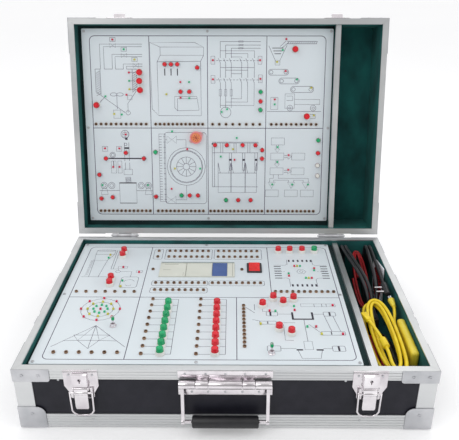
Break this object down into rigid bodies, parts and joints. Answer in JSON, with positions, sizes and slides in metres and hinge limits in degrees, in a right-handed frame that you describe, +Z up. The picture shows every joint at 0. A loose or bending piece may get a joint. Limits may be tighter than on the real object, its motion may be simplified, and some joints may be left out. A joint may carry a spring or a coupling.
{
  "type": "control trainer case",
  "caption": "Aluminium-edged flight case with a hinged lid, holding two wired training panels with a controller, push buttons, lamps, sockets and a side compartment for cords",
  "frame": {"origin": "on the surface it stands on, under the middle of the whole box with the lid open", "axes": "X to the right seen from the front, Y from the front to the back, Z up"},
  "size_m": [0.5694, 0.5861, 0.4944],
  "materials": {
    "aluminium": "satin, fluted",
    "black_plastic": "fine texture",
    "button_green": "gloss",
    "button_red": "gloss",
    "button_white": "gloss",
    "buzzer_shell": "gloss",
    "circuit_board": "solder resist",
    "collar_white": "gloss",
    "controller_case": "fine texture",
    "cord_black": "matt sheath",
    "cord_red": "matt sheath",
    "cord_yellow": "matt sheath",
    "laminate": "black ribbed laminate",
    "lamps": "red, yellow and green",
    "nickel": "bright plated",
    "panel_white": "printed drawings under clear coat",
    "paper_white": "paper sleeve",
    "rubber_black": "matt",
    "socket": "jacks with coloured rims",
    "steel": "zinc plated",
    "timber": "sawn",
    "velvet": "short pile"
  },
  "bodies": {
    "root": {"base_battens": "timber", "base_box_panels": "laminate", "base_button_collars": "collar_white", "base_circuit_board": "circuit_board", "base_corner_caps": "nickel", "base_divider": "velvet", "base_edge_rails": "aluminium", "base_fasteners": "steel", "base_lamps": "lamps", "base_lining": "velvet", "base_panel": "panel_white", "base_rim_frame": "aluminium", "base_sockets": "socket", "controller": "controller_case", "data_cable": "cord_yellow", "data_cable_ends": "cord_yellow", "disc_sleeve": "paper_white", "handle_plate": "nickel", "hinge_base_leaves": "nickel", "latch_plates": "nickel", "mains_cord": "cord_black", "mains_plugs": "black_plastic", "rocker_bezel": "black_plastic", "rubber_feet": "rubber_black", "side_plates": "steel", "test_leads": "cord_red", "toggle_bushes": "steel"},
    "lid": {"buzzer": "buzzer_shell", "hinge_lid_leaves": "nickel", "latch_keepers": "nickel", "lid_battens": "timber", "lid_box_panels": "laminate", "lid_button_collars": "collar_white", "lid_circuit_board": "circuit_board", "lid_corner_caps": "nickel", "lid_divider": "velvet", "lid_edge_rails": "aluminium", "lid_fasteners": "steel", "lid_lamps": "lamps", "lid_lining": "velvet", "lid_panel": "panel_white", "lid_rim_frame": "aluminium", "lid_sockets": "socket"},
    "base_buttons_green": {"base_buttons_green": "button_green"},
    "input_buttons_red": {"input_buttons_red": "button_red"},
    "scene_buttons_red": {"scene_buttons_red": "button_red"},
    "lid_buttons_red": {"lid_buttons_red": "button_red"},
    "lid_buttons_green": {"lid_buttons_green": "button_green"},
    "lid_buttons_white": {"lid_buttons_white": "button_white"},
    "tank_buttons_red": {"tank_buttons_red": "button_red"},
    "rocker_key": {"rocker_key": "button_red"},
    "toggle_lever_left": {"toggle_lever_left": "steel"},
    "toggle_lever_right": {"toggle_lever_right": "steel"},
    "latch_lever_left": {"latch_lever_left": "nickel"},
    "latch_lever_right": {"latch_lever_right": "nickel"},
    "latch_bail_left": {"latch_bail_left": "nickel"},
    "latch_bail_right": {"latch_bail_right": "nickel"},
    "handle": {"handle_bail": "nickel", "handle_grip": "rubber_black"}
  },
  "joints": [
    {"name": "lid_hinge", "type": "hinge", "parent": "root", "child": "lid", "pos_m": [0, 0.12267, 0.102], "axis": [1, 0, 0], "range_deg": [0, 102]},
    {"name": "handle_hinge", "type": "hinge", "parent": "root", "child": "handle", "pos_m": [0, -0.27883, 0.0825], "axis": [-1, 0, 0], "range_deg": [0, 90]},
    {"name": "latch_lever_left_hinge", "type": "hinge", "parent": "root", "child": "latch_lever_left", "pos_m": [-0.192, -0.27783, 0.074], "axis": [1, 0, 0], "range_deg": [-95, 0]},
    {"name": "latch_bail_left_hinge", "type": "hinge", "parent": "latch_lever_left", "child": "latch_bail_left", "pos_m": [-0.192, -0.27903, 0.068], "axis": [-1, 0, 0], "range_deg": [0, 170]},
    {"name": "latch_lever_right_hinge", "type": "hinge", "parent": "root", "child": "latch_lever_right", "pos_m": [0.192, -0.27783, 0.074], "axis": [1, 0, 0], "range_deg": [-95, 0]},
    {"name": "latch_bail_right_hinge", "type": "hinge", "parent": "latch_lever_right", "child": "latch_bail_right", "pos_m": [0.192, -0.27903, 0.068], "axis": [-1, 0, 0], "range_deg": [0, 170]},
    {"name": "rocker_hinge", "type": "hinge", "parent": "root", "child": "rocker_key", "pos_m": [0.047, 0.01497, 0.091], "axis": [-1, 0, 0], "range_deg": [0, 20]},
    {"name": "toggle_left_hinge", "type": "hinge", "parent": "root", "child": "toggle_lever_left", "pos_m": [-0.1687, -0.16063, 0.092], "axis": [1, 0, 0], "range_deg": [0, 24]},
    {"name": "toggle_right_hinge", "type": "hinge", "parent": "root", "child": "toggle_lever_right", "pos_m": [0.0642, -0.22443, 0.092], "axis": [1, 0, 0], "range_deg": [0, 24]},
    {"name": "base_buttons_green_travel", "type": "slide", "parent": "root", "child": "base_buttons_green", "axis": [0, 0, -1], "range_m": [0, 0.0025], "stiffness_N_per_m": 800, "springref_m": -0.002},
    {"name": "input_buttons_red_travel", "type": "slide", "parent": "root", "child": "input_buttons_red", "axis": [0, 0, -1], "range_m": [0, 0.0025], "stiffness_N_per_m": 800, "springref_m": -0.002},
    {"name": "scene_buttons_red_travel", "type": "slide", "parent": "root", "child": "scene_buttons_red", "axis": [0, 0, -1], "range_m": [0, 0.0025], "stiffness_N_per_m": 800, "springref_m": -0.002},
    {"name": "tank_buttons_red_travel", "type": "slide", "parent": "lid", "child": "tank_buttons_red", "axis": [0, 0.9781, -0.2079], "range_m": [0, 0.0025], "stiffness_N_per_m": 800, "springref_m": -0.002},
    {"name": "lid_buttons_red_travel", "type": "slide", "parent": "lid", "child": "lid_buttons_red", "axis": [0, 0.9781, -0.2079], "range_m": [0, 0.0015], "stiffness_N_per_m": 800, "springref_m": -0.002},
    {"name": "lid_buttons_green_travel", "type": "slide", "parent": "lid", "child": "lid_buttons_green", "axis": [0, 0.9781, -0.2079], "range_m": [0, 0.0015], "stiffness_N_per_m": 800, "springref_m": -0.002},
    {"name": "lid_buttons_white_travel", "type": "slide", "parent": "lid", "child": "lid_buttons_white", "axis": [0, 0.9781, -0.2079], "range_m": [0, 0.0015], "stiffness_N_per_m": 800, "springref_m": -0.002}
  ]
}
